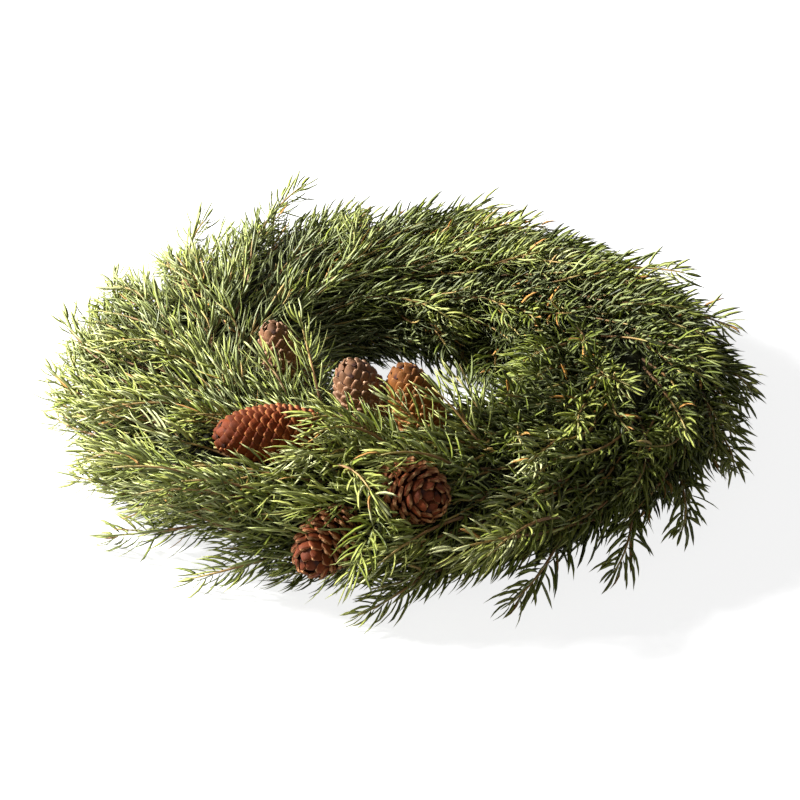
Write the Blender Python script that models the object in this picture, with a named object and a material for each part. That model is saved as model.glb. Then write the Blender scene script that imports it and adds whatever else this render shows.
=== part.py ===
"""Fresh evergreen wreath, lying flat on its back.

Sixteen bunches of needle-leaved greens are wired, one over the tail of the next, round a box
frame of four wire rings. Long sprays stand out of the ring all round, and six pine cones are
seated in it on pick wires. The origin is the middle of the ring, on the surface it lies on.
Seen from above, the greens run clockwise, and lean outwards as they go.
"""

import math
import random
from collections import namedtuple

import bmesh
import bpy
from mathutils import Matrix, Vector

# Ring of greens: the solid heart of each bunch, without its tufts.
RING_RADIUS = 0.181
HEART_HALF_WIDTH = 0.073
HEART_HEIGHT = 0.084
TAIL_SIZE = 0.93
HEAD_SIZE = 1.05
BUNCHES = 16
BUNCH_STATIONS = 5
BUNCH_SIDES = 16
BUNCH_LEAN = math.radians(20.0)
SEAM = 0.0005
UNEVENNESS = 0.0020

# Tufts: the sprig tips that stand on every bunch.
TUFT_OUTER = 0.023
TUFT_INNER = 0.015
TUFT_RISE = 0.62
TUFT_SWEEP = 0.72
TUFT_LEAN = 0.30

# Box frame: an upper and a lower pair of rings, and the bent bars between them.
FRAME_RADIUS = 0.180
WIRE_RADIUS = 0.0015
BAR_RADIUS = 0.00125
WELD_GAP = 0.0003
UPPER_RING_HEIGHT = 0.052
BAR_FOOT_HEIGHT = 0.036
BAR_HALF_SPAN = 0.016
BAR_SLOPE = 0.0015
BAR_BEND = 0.001
LOWER_RING_OFFSET = 0.014
BARS = 6
BAR_SIDES = 6
RING_SEGMENTS = 48
WIRE_SIDES = 5

# Binding wire, wound round the frame, and the tunnel that it leaves through the bunches.
BINDING_RADIUS = 0.0006
BINDING_TURNS = 18
BINDING_GAP = 0.0004
BINDING_START = math.radians(13.0)
BINDING_SPREAD = math.radians(354.0)
TUNNEL_GAP = 0.0007
RING_SAG = 0.0005
TUNNEL_STATIONS = 4

# Sprays: long single sprigs, from a bare root in a socket to the tip.
SPRAY_STEM_ROOT = 0.0019
SPRAY_STEM_TIP = 0.0009
SPRAY_SIDES = 5
SPRAY_RINGS = 12
SPRAY_BARE_RINGS = 4
SPRAY_LEAF = 0.016
SPRAY_LEAF_ANGLE = math.radians(38.0)
SOCKET_GAP = 0.0004
LEAF_CLEARANCE = 0.003
HOLLOW_MOUTH = 0.004
HOLLOW_SIDES = 8
LEAST_HEIGHT = 0.0008

Spray = namedtuple("Spray", "tip_angle tip_radius tip_height root_turn")
SPRAYS = (
    Spray(174.0, 0.264, 0.082, 7.0),
    Spray(186.0, 0.271, 0.062, 8.0),
    Spray(195.0, 0.273, 0.046, 8.0),
    Spray(206.0, 0.272, 0.028, 9.0),
    Spray(218.0, 0.274, 0.012, 9.0),
    Spray(236.0, 0.262, 0.012, 9.0),
    Spray(260.0, 0.270, 0.008, 16.0),
    Spray(285.0, 0.268, 0.012, 12.0),
    Spray(303.0, 0.266, 0.012, 13.0),
    Spray(318.0, 0.264, 0.016, 13.0),
    Spray(335.0, 0.268, 0.028, 13.0),
    Spray(352.0, 0.273, 0.050, 13.0),
    Spray(8.0, 0.266, 0.066, 13.0),
    Spray(26.0, 0.266, 0.078, 13.0),
    Spray(48.0, 0.268, 0.050, 12.0),
    Spray(70.0, 0.270, 0.076, 12.0),
    Spray(95.0, 0.268, 0.044, 12.0),
    Spray(110.0, 0.262, 0.112, 10.0),
    Spray(129.0, 0.268, 0.092, 10.0),
    Spray(150.0, 0.270, 0.070, 10.0),
)
SPRAY_ROOT_RADIUS = 0.238
SPRAY_ROOT_HEIGHT = 0.030
SPRAY_ROOT_RISE = 0.35
HIGH_TIP = 0.090
HIGH_ROOT_RADIUS = 0.219
HIGH_ROOT_HEIGHT = 0.064

# Pine cones: apex, the way the apex points, size, and where the pick wire ends in the greens.
CONE_ROWS = 9
CONE_SCALES_ROUND = 10
CONE_BASE = 0.52
CONE_WIDEST = 0.36
SCALE_LIFT = 0.0022
SCALE_REACH = 0.0042
CONE_GAP = 0.0005
PICK_RADIUS = 0.0006
PICK_SIDES = 5
PICK_KNEE = 0.005
PICK_BEND = 0.007
PICK_SHARES = (0.0, 0.12, 0.25, 0.40, 0.60, 0.80, 1.0)

Cone = namedtuple("Cone", "name apex axis length radius pick_radius pick_height")
CONES = (
    Cone("small_inner", (-0.103, -0.008, 0.103), (-0.36, 0.20, 0.91), 0.060, 0.0160, 0.154, 0.042),
    Cone("inner_left", (-0.040, -0.106, 0.124), (-0.36, 0.20, 0.91), 0.068, 0.0200, 0.154, 0.045),
    Cone("inner_right", (-0.002, -0.108, 0.122), (-0.38, 0.50, 0.78), 0.068, 0.0195, 0.165, 0.0575),
    Cone("top_left", (-0.134, -0.163, 0.091), (-0.99, 0.03, -0.08), 0.076, 0.0205, 0.178, 0.0575),
    Cone("front", (0.025, -0.241, 0.085), (0.54, -0.80, 0.25), 0.062, 0.0200, 0.186, 0.0575),
    Cone("low_front", (-0.067, -0.262, 0.044), (-0.50, -0.84, -0.20), 0.056, 0.0190, 0.2055, 0.050),
)

Colour = namedtuple("Colour", "rgb roughness metallic")
COLOURS = {
    "greens": Colour((0.095, 0.125, 0.030), 0.55, 0.0),
    "sprays": Colour((0.150, 0.180, 0.055), 0.55, 0.0),
    "cones": Colour((0.110, 0.036, 0.014), 0.60, 0.0),
    "frame": Colour((0.020, 0.045, 0.025), 0.45, 0.6),
    "binding": Colour((0.030, 0.060, 0.030), 0.50, 0.6),
    "picks": Colour((0.160, 0.150, 0.140), 0.45, 0.9),
}


def clear_scene():
    for old in list(bpy.data.objects):
        bpy.data.objects.remove(old, do_unlink=True)


def make_material(name):
    colour = COLOURS[name]
    material = bpy.data.materials.new(name)
    material.use_nodes = True
    shader = material.node_tree.nodes["Principled BSDF"]
    shader.inputs["Base Color"].default_value = (*colour.rgb, 1.0)
    shader.inputs["Roughness"].default_value = colour.roughness
    shader.inputs["Metallic"].default_value = colour.metallic
    return material


def polar(angle, radius, height):
    return Vector((radius * math.cos(angle), radius * math.sin(angle), height))


def close_mesh(name, points, faces):
    """A closed mesh from points and faces, its faces turned outwards."""
    shape = bmesh.new()
    corners = [shape.verts.new(point) for point in points]
    for face in faces:
        shape.faces.new([corners[index] for index in face])
    bmesh.ops.recalc_face_normals(shape, faces=shape.faces[:])
    mesh = bpy.data.meshes.new(name)
    shape.to_mesh(mesh)
    shape.free()
    return mesh


def add_object(name, mesh, material, root, location=(0.0, 0.0, 0.0)):
    mesh.materials.clear()
    mesh.materials.append(material)
    piece = bpy.data.objects.new(name, mesh)
    bpy.context.scene.collection.objects.link(piece)
    piece.parent = root
    piece.location = location
    return piece


def frame_on_path(points):
    """Side and rise directions at each point of a path, carried along without twisting."""
    count = len(points)
    tangents = [
        (points[min(i + 1, count - 1)] - points[max(i - 1, 0)]).normalized() for i in range(count)
    ]
    rise = Vector((0.0, 0.0, 1.0))
    if abs(tangents[0].dot(rise)) > 0.9:
        rise = Vector((1.0, 0.0, 0.0))
    frames = []
    for tangent in tangents:
        side = tangent.cross(rise).normalized()
        rise = side.cross(tangent).normalized()
        frames.append((tangent, side, rise))
    return frames


def tube_rings(points, radii, sides):
    """The corner points of a round tube along a path, one ring of them for each path point."""
    rings = []
    for (_, side, rise), centre, radius in zip(frame_on_path(points), points, radii):
        rings.append(
            [
                centre
                + side * (radius * math.cos(2 * math.pi * k / sides))
                + rise * (radius * math.sin(2 * math.pi * k / sides))
                for k in range(sides)
            ]
        )
    return rings


def tube_mesh(name, points, radii, sides, closed=False):
    """A round tube along a path, with flat ends, or joined end to end."""
    rings = tube_rings(points, radii, sides)
    corners = [corner for ring in rings for corner in ring]
    spans = len(rings) if closed else len(rings) - 1
    faces = []
    for i in range(spans):
        here = i * sides
        after = ((i + 1) % len(rings)) * sides
        for k in range(sides):
            turn = (k + 1) % sides
            faces.append((here + k, here + turn, after + turn))
            faces.append((here + k, after + turn, after + k))
    if not closed:
        faces.append(tuple(range(sides)))
        faces.append(tuple(range(len(corners) - sides, len(corners))))
    return close_mesh(name, corners, faces)


# ---------------------------------------------------------------- frame and binding wire


def frame_sections():
    """Radius and height of the middle of each frame ring's wire, in order round the box."""
    touch = WIRE_RADIUS + WELD_GAP + BAR_RADIUS
    upper = BAR_HALF_SPAN + touch
    return {
        "upper_outer": (FRAME_RADIUS + upper, UPPER_RING_HEIGHT),
        "upper_inner": (FRAME_RADIUS - upper, UPPER_RING_HEIGHT),
        "lower_inner": (FRAME_RADIUS - LOWER_RING_OFFSET, BAR_FOOT_HEIGHT - touch),
        "lower_outer": (FRAME_RADIUS + LOWER_RING_OFFSET, BAR_FOOT_HEIGHT - touch),
    }


def wrap_outline(offset):
    """Radius and height of a line wrapped round the frame's four rings, three points at each.

    The rings' straight segments sag towards the middle of the wreath, so the line stands a
    little further off on that side.
    """
    sections = list(frame_sections().values())
    outline = []
    for index, section in enumerate(sections):
        here = Vector(section)
        arriving = (here - Vector(sections[index - 1])).normalized()
        leaving = (Vector(sections[(index + 1) % len(sections)]) - here).normalized()
        for along in (arriving, (arriving + leaving).normalized(), leaving):
            outward = Vector((along.y, -along.x))
            reach = offset + RING_SAG * max(-outward.x, 0.0)
            outline.append(here + outward * reach)
    return outline


def build_frame(material, root):
    for name, (radius, height) in frame_sections().items():
        corners = []
        faces = []
        for i in range(RING_SEGMENTS):
            angle = 2 * math.pi * i / RING_SEGMENTS
            here = i * WIRE_SIDES
            after = (i + 1) % RING_SEGMENTS * WIRE_SIDES
            for k in range(WIRE_SIDES):
                round_wire = 2 * math.pi * k / WIRE_SIDES
                out = WIRE_RADIUS * math.cos(round_wire)
                corners.append(polar(angle, radius + out, WIRE_RADIUS * math.sin(round_wire)))
                turn = (k + 1) % WIRE_SIDES
                faces.append((here + k, here + turn, after + turn, after + k))
        mesh = close_mesh("frame_ring_" + name, corners, faces)
        mesh.shade_smooth()
        add_object("frame_ring_" + name, mesh, material, root, (0.0, 0.0, height))


def build_bars(material, root):
    """Each bar is a wire bent into a flat U, its legs inside the upper rings."""
    knee = BAR_HALF_SPAN - BAR_SLOPE
    half = [
        (BAR_HALF_SPAN, UPPER_RING_HEIGHT + WIRE_RADIUS),
        (knee, BAR_FOOT_HEIGHT + BAR_BEND),
        (knee - BAR_BEND, BAR_FOOT_HEIGHT),
    ]
    path = [Vector((FRAME_RADIUS - across, 0.0, height)) for across, height in half]
    path += [Vector((FRAME_RADIUS + across, 0.0, height)) for across, height in reversed(half)]
    corners = []
    faces = []
    across = Vector((0.0, 1.0, 0.0))
    for i, point in enumerate(path):
        along = (path[min(i + 1, len(path) - 1)] - path[max(i - 1, 0)]).normalized()
        normal = along.cross(across)
        for k in range(BAR_SIDES):
            turn = 2 * math.pi * k / BAR_SIDES
            corners.append(
                point + BAR_RADIUS * (normal * math.cos(turn) + across * math.sin(turn))
            )
    last = len(corners) - BAR_SIDES
    faces.append(tuple(range(BAR_SIDES)))
    faces.append(tuple(range(last, len(corners))))
    for here in range(0, last, BAR_SIDES):
        for k in range(BAR_SIDES):
            turn = (k + 1) % BAR_SIDES
            after = here + BAR_SIDES
            faces.append((here + k, here + turn, after + turn, after + k))
    for number in range(BARS):
        name = f"frame_bar_{number + 1:02d}"
        mesh = close_mesh(name, corners, faces)
        bar = add_object(name, mesh, material, root)
        bar.rotation_euler.z = 2 * math.pi * number / BARS


def build_binding(material, root):
    """One wire wound round all four rings from end to end, with its two cut ends apart."""
    offset = WIRE_RADIUS + BINDING_GAP + BINDING_RADIUS
    outline = wrap_outline(offset)
    steps = BINDING_TURNS * len(outline)
    path = []
    for step in range(steps):
        radius, height = outline[step % len(outline)]
        path.append(polar(BINDING_START - BINDING_SPREAD * step / steps, radius, height))
    mesh = tube_mesh("binding_wire", path, [BINDING_RADIUS] * steps, 4)
    add_object("binding_wire", mesh, material, root)


# ---------------------------------------------------------------- bunches of greens


def seam_angle(seam, shift, radius):
    """Angle at which the upright seam plane through angle seam, moved downstream, meets a radius."""
    direction = seam - BUNCH_LEAN
    along = Vector((math.cos(direction), math.sin(direction)))
    downstream = Vector((math.sin(direction), -math.cos(direction)))
    foot = Vector((math.cos(seam), math.sin(seam))) * RING_RADIUS + downstream * shift
    near = foot.dot(along)
    reach = -near + math.sqrt(near * near - foot.length_squared + radius * radius)
    point = foot + along * reach
    return math.atan2(point.y, point.x)


def heart_outline(size, chance):
    """Radius and height round one section of a bunch, flat where it lies on the surface."""
    outline = []
    for side in range(BUNCH_SIDES):
        turn = 2 * math.pi * (side + 0.5) / BUNCH_SIDES
        across = math.copysign(abs(math.cos(turn)) ** 0.85, math.cos(turn))
        radius = RING_RADIUS + HEART_HALF_WIDTH * size * across
        half = HEART_HEIGHT / 2
        lift = half * size if math.sin(turn) > 0 else half + 0.010
        height = half + lift * math.sin(turn)
        if height > 0.0:
            radius += chance.uniform(-UNEVENNESS, UNEVENNESS)
            height += chance.uniform(-UNEVENNESS, UNEVENNESS)
        outline.append((radius, max(height, 0.0)))
    return outline


def bridge_cap(outer, inner, middle):
    """Triangles between two closed loops of (index, radius, height) in one flat cap."""

    def bearing(entry):
        return math.atan2(entry[2] - middle[1], entry[1] - middle[0])

    outer = sorted(outer, key=bearing)
    inner = sorted(inner, key=bearing)
    outer.append(outer[0])
    inner.append(inner[0])
    outer_turns = [bearing(e) for e in outer[:-1]] + [bearing(outer[0]) + 2 * math.pi]
    inner_turns = [bearing(e) for e in inner[:-1]] + [bearing(inner[0]) + 2 * math.pi]
    triangles = []
    i = 0
    j = 0
    while i < len(outer) - 1 or j < len(inner) - 1:
        step_outer = j == len(inner) - 1 or (
            i < len(outer) - 1 and outer_turns[i + 1] <= inner_turns[j + 1]
        )
        if step_outer:
            triangles.append((outer[i][0], outer[i + 1][0], inner[j][0]))
            i += 1
        else:
            triangles.append((outer[i][0], inner[j + 1][0], inner[j][0]))
            j += 1
    return triangles


def tuft_tip(quad):
    """Where the tuft on one face of a bunch comes to its point."""
    centre = sum(quad, Vector()) / 4
    normal = (quad[2] - quad[0]).cross(quad[3] - quad[1]).normalized()
    outward = Vector((centre.x, centre.y, 0.0)).normalized()
    if normal.dot(centre - outward * RING_RADIUS - Vector((0, 0, HEART_HEIGHT / 2))) < 0:
        normal.negate()
    flow = Vector((outward.y, -outward.x, 0.0))
    inner_share = min(max(-normal.dot(outward), 0.0), 1.0)
    length = TUFT_OUTER + (TUFT_INNER - TUFT_OUTER) * inner_share
    lean = TUFT_LEAN * (1.0 - inner_share)
    direction = (normal * TUFT_RISE + flow * TUFT_SWEEP + outward * lean).normalized()
    tip = centre + direction * length
    tip.z = max(tip.z, LEAST_HEIGHT)
    return tip


def bunch_mesh(name, chance):
    """One bunch, from its tail at angle 0 to its head one step clockwise, with a tunnel through."""
    step = 2 * math.pi / BUNCHES
    points = []
    loops = []
    for station in range(BUNCH_STATIONS):
        share = station / (BUNCH_STATIONS - 1)
        outline = heart_outline(TAIL_SIZE + (HEAD_SIZE - TAIL_SIZE) * share, chance)
        loop = []
        for radius, height in outline:
            tail = seam_angle(0.0, SEAM / 2, radius)
            head = seam_angle(-step, -SEAM / 2, radius)
            loop.append((len(points), radius, height))
            points.append(polar(tail + (head - tail) * share, radius, height))
        loops.append(loop)
    offset = WIRE_RADIUS + BINDING_GAP + 2 * BINDING_RADIUS + TUNNEL_GAP
    tunnel = wrap_outline(offset)
    tunnels = []
    for station in range(TUNNEL_STATIONS):
        share = station / (TUNNEL_STATIONS - 1)
        loop = []
        for radius, height in tunnel:
            tail = seam_angle(0.0, SEAM / 2, radius)
            head = seam_angle(-step, -SEAM / 2, radius)
            loop.append((len(points), radius, height))
            points.append(polar(tail + (head - tail) * share, radius, height))
        tunnels.append(loop)
    faces = []
    for here, after in zip(loops, loops[1:]):
        for k in range(BUNCH_SIDES):
            turn = (k + 1) % BUNCH_SIDES
            quad = (here[k][0], here[turn][0], after[turn][0], after[k][0])
            if max(points[index].z for index in quad) <= 0.0:
                faces.append(quad)
                continue
            tip = len(points)
            points.append(tuft_tip([points[index] for index in quad]))
            for edge in range(4):
                faces.append((quad[edge], quad[(edge + 1) % 4], tip))
    for here, after in zip(tunnels, tunnels[1:]):
        for k in range(len(tunnel)):
            turn = (k + 1) % len(tunnel)
            faces.append((here[k][0], here[turn][0], after[turn][0], after[k][0]))
    middle = (FRAME_RADIUS, HEART_HEIGHT / 2)
    faces += bridge_cap(loops[0], tunnels[0], middle)
    faces += bridge_cap(loops[-1], tunnels[-1], middle)
    return close_mesh(name, points, faces)


def build_bunches(material, root):
    chance = random.Random(7)
    bunches = []
    for number in range(BUNCHES):
        name = f"greens_bunch_{number + 1:02d}"
        bunch = add_object(name, bunch_mesh(name, chance), material, root)
        bunch.rotation_euler.z = -2 * math.pi * number / BUNCHES
        bunches.append(bunch)
    return bunches


# ---------------------------------------------------------------- sprays


def spray_path(spray):
    """Points from the root in its socket to the tip, bending round with the run of the greens."""
    if spray.tip_height > HIGH_TIP:
        root_radius = HIGH_ROOT_RADIUS
        root_height = HIGH_ROOT_HEIGHT
    else:
        root_radius = SPRAY_ROOT_RADIUS
        root_height = SPRAY_ROOT_HEIGHT + SPRAY_ROOT_RISE * spray.tip_height
    tip_angle = math.radians(spray.tip_angle)
    root_angle = tip_angle + math.radians(spray.root_turn)
    root = polar(root_angle, root_radius, root_height)
    tip = polar(tip_angle, spray.tip_radius, spray.tip_height)
    outward = polar(root_angle, 1.0, 0.0)
    bend = root.lerp(tip, 0.45) + outward * 0.010 + Vector((0.0, 0.0, 0.006))
    path = []
    for ring in range(SPRAY_RINGS):
        share = ring / SPRAY_RINGS
        path.append(
            root * (1 - share) ** 2 + bend * (2 * share * (1 - share)) + tip * share**2
        )
    return path, tip


def spray_mesh(name, spray):
    """A bare root, then whorls of pointed leaves standing forward from the stem."""
    path, tip = spray_path(spray)
    radii = [
        SPRAY_STEM_ROOT + (SPRAY_STEM_TIP - SPRAY_STEM_ROOT) * ring / SPRAY_RINGS
        for ring in range(SPRAY_RINGS)
    ]
    rings = tube_rings(path, radii, SPRAY_SIDES)
    points = [corner for ring in rings for corner in ring]
    frames = frame_on_path(path)
    faces = [tuple(range(SPRAY_SIDES))]
    for i in range(SPRAY_RINGS - 1):
        tangent = frames[i][0]
        for k in range(SPRAY_SIDES):
            turn = (k + 1) % SPRAY_SIDES
            quad = (
                i * SPRAY_SIDES + k,
                i * SPRAY_SIDES + turn,
                (i + 1) * SPRAY_SIDES + turn,
                (i + 1) * SPRAY_SIDES + k,
            )
            if i < SPRAY_BARE_RINGS:
                faces.append(quad)
                continue
            centre = sum((points[index] for index in quad), Vector()) / 4
            outward = (centre - (path[i] + path[i + 1]) / 2).normalized()
            angle = SPRAY_LEAF_ANGLE * (1.0 - 0.4 * (i - SPRAY_BARE_RINGS) / SPRAY_RINGS)
            leaf = centre + SPRAY_LEAF * (outward * math.sin(angle) + tangent * math.cos(angle))
            leaf.z = max(leaf.z, LEAST_HEIGHT)
            points.append(leaf)
            for edge in range(4):
                faces.append((quad[edge], quad[(edge + 1) % 4], len(points) - 1))
    last = (SPRAY_RINGS - 1) * SPRAY_SIDES
    points.append(tip)
    for k in range(SPRAY_SIDES):
        faces.append((last + k, last + (k + 1) % SPRAY_SIDES, len(points) - 1))
    root_point = path[0]
    return close_mesh(name, [point - root_point for point in points], faces), root_point


def spray_cutters(spray):
    """A close sleeve for the bare root, and a wider one for the leafy stretch."""
    path, tip = spray_path(spray)
    start = path[0] - (path[1] - path[0]).normalized() * SOCKET_GAP
    bare = [start] + path[1 : SPRAY_BARE_RINGS + 2]
    widths = [SPRAY_STEM_ROOT + SOCKET_GAP * 1.4] * len(bare)
    sleeve = tube_mesh("cutter", bare, widths, SPRAY_SIDES)
    reach = SPRAY_LEAF * math.sin(SPRAY_LEAF_ANGLE) + SPRAY_STEM_ROOT + LEAF_CLEARANCE
    leafy = path[SPRAY_BARE_RINGS - 1 :: 2] + [tip + (tip - path[-1])]
    widths = [HOLLOW_MOUTH] + [reach] * (len(leafy) - 1)
    hollow = tube_mesh("cutter", leafy, widths, HOLLOW_SIDES)
    return sleeve, hollow


def build_sprays(material, root):
    sockets = []
    for number, spray in enumerate(SPRAYS):
        name = f"spray_{number + 1:02d}"
        mesh, place = spray_mesh(name, spray)
        add_object(name, mesh, material, root, place)
        sockets += spray_cutters(spray)
    return sockets


# ---------------------------------------------------------------- pine cones


def cone_radius(share):
    """How wide a cone is, as a share of its greatest radius, from its base at 0 to its apex at 1."""
    if share < CONE_WIDEST:
        rise = (share / CONE_WIDEST) ** 0.7
        return CONE_BASE + (1.0 - CONE_BASE) * rise
    fall = (share - CONE_WIDEST) / (1.06 - CONE_WIDEST)
    return math.sqrt(1.0 - fall**2.2)


def cone_points(cone):
    """The corner points of a cone's body, standing on its base at the origin."""
    body = cone.radius - SCALE_LIFT
    reach = cone.length - SCALE_REACH
    points = []
    for row in range(CONE_ROWS):
        share = row / CONE_ROWS
        radius = body * cone_radius(share)
        for k in range(CONE_SCALES_ROUND):
            points.append(
                polar(2 * math.pi * (k + 0.5 * row) / CONE_SCALES_ROUND, radius, reach * share)
            )
    return points


def cone_mesh(name, cone):
    """A turned body whose every face carries one scale, raised towards the apex."""
    points = cone_points(cone)
    sides = CONE_SCALES_ROUND
    faces = [tuple(range(sides))]
    for row in range(CONE_ROWS - 1):
        for k in range(sides):
            turn = (k + 1) % sides
            quad = (
                row * sides + k,
                row * sides + turn,
                (row + 1) * sides + turn,
                (row + 1) * sides + k,
            )
            centre = sum((points[index] for index in quad), Vector()) / 4
            outward = Vector((centre.x, centre.y, 0.0)).normalized()
            points.append(centre + outward * SCALE_LIFT + Vector((0, 0, SCALE_REACH)))
            for edge in range(4):
                faces.append((quad[edge], quad[(edge + 1) % 4], len(points) - 1))
    last = (CONE_ROWS - 1) * sides
    points.append(Vector((0.0, 0.0, cone.length)))
    for k in range(sides):
        faces.append((last + k, last + (k + 1) % sides, len(points) - 1))
    return close_mesh(name, points, faces)


def cone_pocket(cone, mesh):
    """The hull of a cone, a little larger all round, as a cutter in the cone's own place."""
    shape = bmesh.new()
    for vertex in mesh.vertices:
        point = vertex.co.copy()
        flat = Vector((point.x, point.y, 0.0))
        if flat.length > 0.0:
            point += flat.normalized() * CONE_GAP
        point.z += CONE_GAP if point.z > cone.length / 2 else -CONE_GAP
        shape.verts.new(point)
    hull = bmesh.ops.convex_hull(shape, input=shape.verts[:])
    inside = {part for part in hull["geom_interior"] if isinstance(part, bmesh.types.BMVert)}
    bmesh.ops.delete(shape, geom=list(inside), context="VERTS")
    bmesh.ops.recalc_face_normals(shape, faces=shape.faces[:])
    pocket = bpy.data.meshes.new("cutter")
    shape.to_mesh(pocket)
    shape.free()
    return pocket


def build_cones(cone_material, pick_material, root):
    cutters = []
    for cone in CONES:
        axis = Vector(cone.axis).normalized()
        base = Vector(cone.apex) - axis * cone.length
        name = "pine_cone_" + cone.name
        mesh = cone_mesh(name, cone)
        piece = add_object(name, mesh, cone_material, root, base)
        piece.rotation_mode = "QUATERNION"
        piece.rotation_quaternion = axis.to_track_quat("Z", "Y")
        pocket = cone_pocket(cone, mesh)
        pocket.transform(axis.to_track_quat("Z", "Y").to_matrix().to_4x4())
        pocket.transform(Matrix.Translation(base))
        cutters.append(pocket)
        cutters.append(build_pick(cone, base, pick_material, root))
    return cutters


def build_pick(cone, base, material, root):
    """The pick wire from the middle of a cone's base into the greens, and its channel's cutter."""
    axis = Vector(cone.axis).normalized()
    start = base - axis * CONE_GAP
    knee = base - axis * PICK_KNEE
    end = polar(math.atan2(base.y, base.x), cone.pick_radius, cone.pick_height)
    bend = knee - axis * PICK_BEND
    curve = [knee.lerp(bend, t).lerp(bend.lerp(end, t), t) for t in PICK_SHARES]
    path = [start, *curve]
    mesh = tube_mesh("pick", path, [PICK_RADIUS] * len(path), PICK_SIDES)
    mesh.transform(Matrix.Translation(-start))
    add_object("cone_pick_" + cone.name, mesh, material, root, start)
    channel = [base, *curve[:-1], end + (end - bend).normalized() * SOCKET_GAP]
    return tube_mesh("cutter", channel, [PICK_RADIUS + SOCKET_GAP] * len(channel), PICK_SIDES)


# ---------------------------------------------------------------- seating


def drop_loose_bits(mesh):
    """Keep only the largest connected part, so that no cut-off tuft tip hangs in the air."""
    shape = bmesh.new()
    shape.from_mesh(mesh)
    bmesh.ops.remove_doubles(shape, verts=shape.verts[:], dist=0.000002)
    waiting = set(shape.verts)
    groups = []
    while waiting:
        group = {waiting.pop()}
        front = list(group)
        while front:
            vertex = front.pop()
            for edge in vertex.link_edges:
                other = edge.other_vert(vertex)
                if other in waiting:
                    waiting.discard(other)
                    group.add(other)
                    front.append(other)
        groups.append(group)
    groups.sort(key=len, reverse=True)
    for group in groups[1:]:
        bmesh.ops.delete(shape, geom=list(group), context="VERTS")
    shape.to_mesh(mesh)
    shape.free()


def reach_of(mesh, matrix):
    corners = [matrix @ vertex.co for vertex in mesh.vertices]
    low = Vector([min(corner[axis] for corner in corners) for axis in range(3)])
    high = Vector([max(corner[axis] for corner in corners) for axis in range(3)])
    return low, high


def seat_pieces(bunches, cutters):
    """Cut a pocket, socket or channel in each bunch wherever another piece enters it."""
    bpy.context.view_layer.update()
    guides = []
    for mesh in cutters:
        guide = bpy.data.objects.new("cutter", mesh)
        guide.hide_render = True
        guide.display_type = "WIRE"
        bpy.context.scene.collection.objects.link(guide)
        guides.append(guide)
    bpy.context.view_layer.update()
    for bunch in bunches:
        low, high = reach_of(bunch.data, bunch.matrix_world)
        for guide in guides:
            guide_low, guide_high = reach_of(guide.data, guide.matrix_world)
            if all(guide_low[a] < high[a] and guide_high[a] > low[a] for a in range(3)):
                cut = bunch.modifiers.new("seat", "BOOLEAN")
                cut.operation = "DIFFERENCE"
                cut.solver = "EXACT"
                cut.object = guide
        bpy.context.view_layer.update()
        seated = bpy.data.meshes.new_from_object(
            bunch.evaluated_get(bpy.context.evaluated_depsgraph_get())
        )
        bunch.modifiers.clear()
        drop_loose_bits(seated)
        bunch.data = seated
    for guide in guides:
        bpy.data.objects.remove(guide, do_unlink=True)


def main():
    clear_scene()
    root = bpy.data.objects.new("wreath", None)
    bpy.context.scene.collection.objects.link(root)
    materials = {name: make_material(name) for name in COLOURS}
    build_frame(materials["frame"], root)
    build_bars(materials["frame"], root)
    build_binding(materials["binding"], root)
    bunches = build_bunches(materials["greens"], root)
    cutters = build_sprays(materials["sprays"], root)
    cutters += build_cones(materials["cones"], materials["picks"], root)
    seat_pieces(bunches, cutters)


main()
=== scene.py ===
"""Looks of the fresh evergreen wreath.

Every leaf is a thin closed blade set in a spiral on its own stem, and every cone is built scale
by scale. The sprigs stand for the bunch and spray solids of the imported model, and keep to the
same ring. Lengths are in metres.
"""

import math

import bpy
import numpy as np
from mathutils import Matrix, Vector


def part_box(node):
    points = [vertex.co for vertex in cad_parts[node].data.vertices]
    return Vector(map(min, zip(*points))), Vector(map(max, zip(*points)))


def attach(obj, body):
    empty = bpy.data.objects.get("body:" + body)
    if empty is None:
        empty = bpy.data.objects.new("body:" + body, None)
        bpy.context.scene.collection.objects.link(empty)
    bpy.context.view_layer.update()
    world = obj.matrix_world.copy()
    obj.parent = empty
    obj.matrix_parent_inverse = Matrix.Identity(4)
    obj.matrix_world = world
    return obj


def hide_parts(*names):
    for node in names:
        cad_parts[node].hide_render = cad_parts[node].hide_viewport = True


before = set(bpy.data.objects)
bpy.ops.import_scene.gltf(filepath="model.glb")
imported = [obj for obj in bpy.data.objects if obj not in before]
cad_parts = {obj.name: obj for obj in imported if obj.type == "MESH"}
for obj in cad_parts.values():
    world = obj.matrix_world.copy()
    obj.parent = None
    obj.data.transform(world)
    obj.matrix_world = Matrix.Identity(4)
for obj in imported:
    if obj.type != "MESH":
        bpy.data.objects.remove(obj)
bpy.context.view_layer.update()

# The ring of greens.
RING_RADIUS = 0.181
RING_HALF_WIDTH = 0.088
RING_HALF_HEIGHT = 0.050
RING_MIDDLE = 0.048
BUNCHES = 16
GOLDEN_ANGLE = math.radians(137.508)
PRESS_HEIGHT = 0.005
CROWN_HEIGHT = 0.122
CROWN_SLACK = 0.010
FLOOR_LIFT = 0.84

# Leaves and stems.
LEAF_LENGTH = 0.0238
LEAF_WIDTH = 0.0025
LEAF_SPACING = 0.0017
STEM_ROOT_RADIUS = 0.0013
STEM_TIP_RADIUS = 0.0006
STEM_SIDES = 5
SPRIG_POINTS = 9
LEAF_LEAN = 70
LEAF_LEAN_SPREAD = 6
LEAF_ROLL_SPREAD = 24
LEAF_CURL = 0.50
LEAF_CURL_SPREAD = 0.14
DRY_SHARE = 0.012
DRY_SPRIG_SHARE = 0.10

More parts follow.
